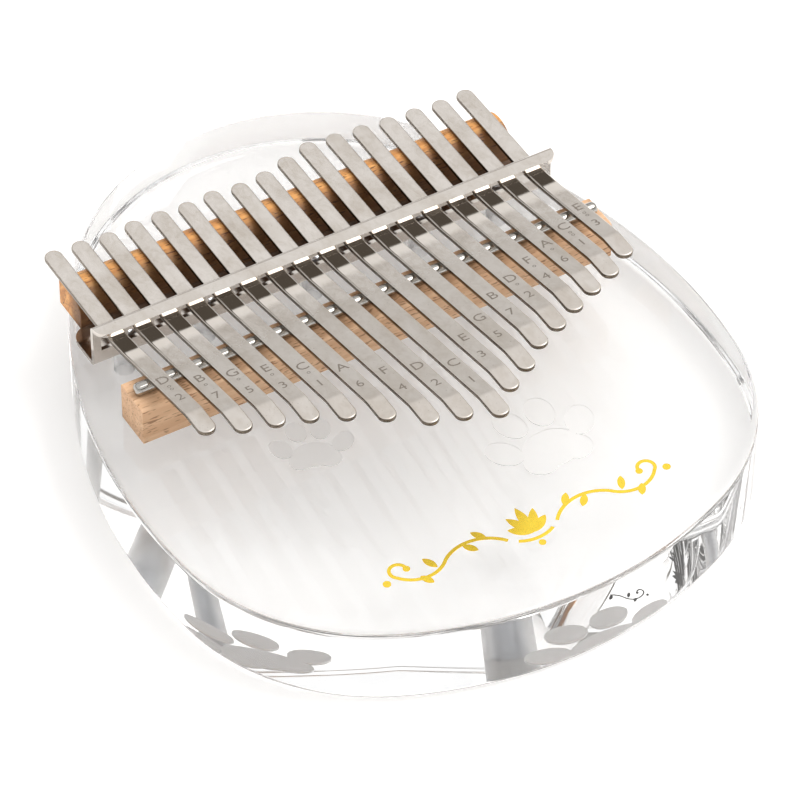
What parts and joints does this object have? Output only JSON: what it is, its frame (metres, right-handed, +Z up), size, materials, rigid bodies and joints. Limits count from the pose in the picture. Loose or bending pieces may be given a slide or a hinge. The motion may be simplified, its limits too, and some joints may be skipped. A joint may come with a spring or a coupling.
{
  "type": "mbira",
  "caption": "Thumb piano with spring-steel tines clamped over two wooden bridges on a solid clear acrylic slab.",
  "frame": {"origin": "centre of the slab's flat underside", "axes": "+Z up, out of the playing face; the plucked tine tips point to -Y, towards the player; +X to the player's right"},
  "size_m": [0.1382, 0.1652, 0.044],
  "materials": {
    "clear_acrylic": "polished clear cast acrylic",
    "gold_foil": "hot-stamped gold foil",
    "nickel_plate": "satin nickel plate",
    "spring_steel": "satin nickel-plated spring steel",
    "zinc_screw": "zinc plated",
    "rear_beech": "oiled beech",
    "front_beech": "plain sanded beech",
    "polished_chrome": "polished"
  },
  "bodies": {
    "frame": {"body_slab": "clear_acrylic", "gold_ornament": "gold_foil", "clamp_bracket": "nickel_plate", "bracket_screws": "zinc_screw", "rear_bridge": "rear_beech", "front_bridge": "front_beech", "bridge_rod": "polished_chrome", "tine_01_root": "spring_steel", "tine_02_root": "spring_steel", "tine_03_root": "spring_steel", "tine_04_root": "spring_steel", "tine_05_root": "spring_steel", "tine_06_root": "spring_steel", "tine_07_root": "spring_steel", "tine_08_root": "spring_steel", "tine_09_root": "spring_steel", "tine_10_root": "spring_steel", "tine_11_root": "spring_steel", "tine_12_root": "spring_steel", "tine_13_root": "spring_steel", "tine_14_root": "spring_steel", "tine_15_root": "spring_steel", "tine_16_root": "spring_steel", "tine_17_root": "spring_steel"},
    "blade_01": {"tine_01_blade": "spring_steel"},
    "blade_02": {"tine_02_blade": "spring_steel"},
    "blade_03": {"tine_03_blade": "spring_steel"},
    "blade_04": {"tine_04_blade": "spring_steel"},
    "blade_05": {"tine_05_blade": "spring_steel"},
    "blade_06": {"tine_06_blade": "spring_steel"},
    "blade_07": {"tine_07_blade": "spring_steel"},
    "blade_08": {"tine_08_blade": "spring_steel"},
    "blade_09": {"tine_09_blade": "spring_steel"},
    "blade_10": {"tine_10_blade": "spring_steel"},
    "blade_11": {"tine_11_blade": "spring_steel"},
    "blade_12": {"tine_12_blade": "spring_steel"},
    "blade_13": {"tine_13_blade": "spring_steel"},
    "blade_14": {"tine_14_blade": "spring_steel"},
    "blade_15": {"tine_15_blade": "spring_steel"},
    "blade_16": {"tine_16_blade": "spring_steel"},
    "blade_17": {"tine_17_blade": "spring_steel"}
  },
  "joints": [
    {"name": "pluck_01", "type": "hinge", "parent": "frame", "child": "blade_01", "pos_m": [-0.052, 0.00662, 0.03239], "axis": [1, 0, 0], "range_deg": [-2, 3], "stiffness_Nm_per_rad": 11.23},
    {"name": "pluck_02", "type": "hinge", "parent": "frame", "child": "blade_02", "pos_m": [-0.0455, 0.00662, 0.03239], "axis": [1, 0, 0], "range_deg": [-2, 3], "stiffness_Nm_per_rad": 9.57},
    {"name": "pluck_03", "type": "hinge", "parent": "frame", "child": "blade_03", "pos_m": [-0.039, 0.00662, 0.03239], "axis": [1, 0, 0], "range_deg": [-2, 3], "stiffness_Nm_per_rad": 8.8},
    {"name": "pluck_04", "type": "hinge", "parent": "frame", "child": "blade_04", "pos_m": [-0.0325, 0.00662, 0.03239], "axis": [1, 0, 0], "range_deg": [-2, 3], "stiffness_Nm_per_rad": 8.05},
    {"name": "pluck_05", "type": "hinge", "parent": "frame", "child": "blade_05", "pos_m": [-0.026, 0.00662, 0.03239], "axis": [1, 0, 0], "range_deg": [-2, 3], "stiffness_Nm_per_rad": 7.18},
    {"name": "pluck_06", "type": "hinge", "parent": "frame", "child": "blade_06", "pos_m": [-0.0195, 0.00662, 0.03239], "axis": [1, 0, 0], "range_deg": [-2, 3], "stiffness_Nm_per_rad": 6.29},
    {"name": "pluck_07", "type": "hinge", "parent": "frame", "child": "blade_07", "pos_m": [-0.013, 0.00662, 0.03239], "axis": [1, 0, 0], "range_deg": [-2, 3], "stiffness_Nm_per_rad": 5.46},
    {"name": "pluck_08", "type": "hinge", "parent": "frame", "child": "blade_08", "pos_m": [-0.0065, 0.00662, 0.03239], "axis": [1, 0, 0], "range_deg": [-2, 3], "stiffness_Nm_per_rad": 5.17},
    {"name": "pluck_09", "type": "hinge", "parent": "frame", "child": "blade_09", "pos_m": [0, 0.00662, 0.03239], "axis": [1, 0, 0], "range_deg": [-2, 3], "stiffness_Nm_per_rad": 4.83},
    {"name": "pluck_10", "type": "hinge", "parent": "frame", "child": "blade_10", "pos_m": [0.0065, 0.00662, 0.03239], "axis": [1, 0, 0], "range_deg": [-2, 3], "stiffness_Nm_per_rad": 5.49},
    {"name": "pluck_11", "type": "hinge", "parent": "frame", "child": "blade_11", "pos_m": [0.013, 0.00662, 0.03239], "axis": [1, 0, 0], "range_deg": [-2, 3], "stiffness_Nm_per_rad": 6.01},
    {"name": "pluck_12", "type": "hinge", "parent": "frame", "child": "blade_12", "pos_m": [0.0195, 0.00662, 0.03239], "axis": [1, 0, 0], "range_deg": [-2, 3], "stiffness_Nm_per_rad": 6.84},
    {"name": "pluck_13", "type": "hinge", "parent": "frame", "child": "blade_13", "pos_m": [0.026, 0.00662, 0.03239], "axis": [1, 0, 0], "range_deg": [-2, 3], "stiffness_Nm_per_rad": 7.46},
    {"name": "pluck_14", "type": "hinge", "parent": "frame", "child": "blade_14", "pos_m": [0.0325, 0.00662, 0.03239], "axis": [1, 0, 0], "range_deg": [-2, 3], "stiffness_Nm_per_rad": 8.29},
    {"name": "pluck_15", "type": "hinge", "parent": "frame", "child": "blade_15", "pos_m": [0.039, 0.00662, 0.03239], "axis": [1, 0, 0], "range_deg": [-2, 3], "stiffness_Nm_per_rad": 9.22},
    {"name": "pluck_16", "type": "hinge", "parent": "frame", "child": "blade_16", "pos_m": [0.0455, 0.00662, 0.03239], "axis": [1, 0, 0], "range_deg": [-2, 3], "stiffness_Nm_per_rad": 10.34},
    {"name": "pluck_17", "type": "hinge", "parent": "frame", "child": "blade_17", "pos_m": [0.052, 0.00662, 0.03239], "axis": [1, 0, 0], "range_deg": [-2, 3], "stiffness_Nm_per_rad": 12.57}
  ]
}
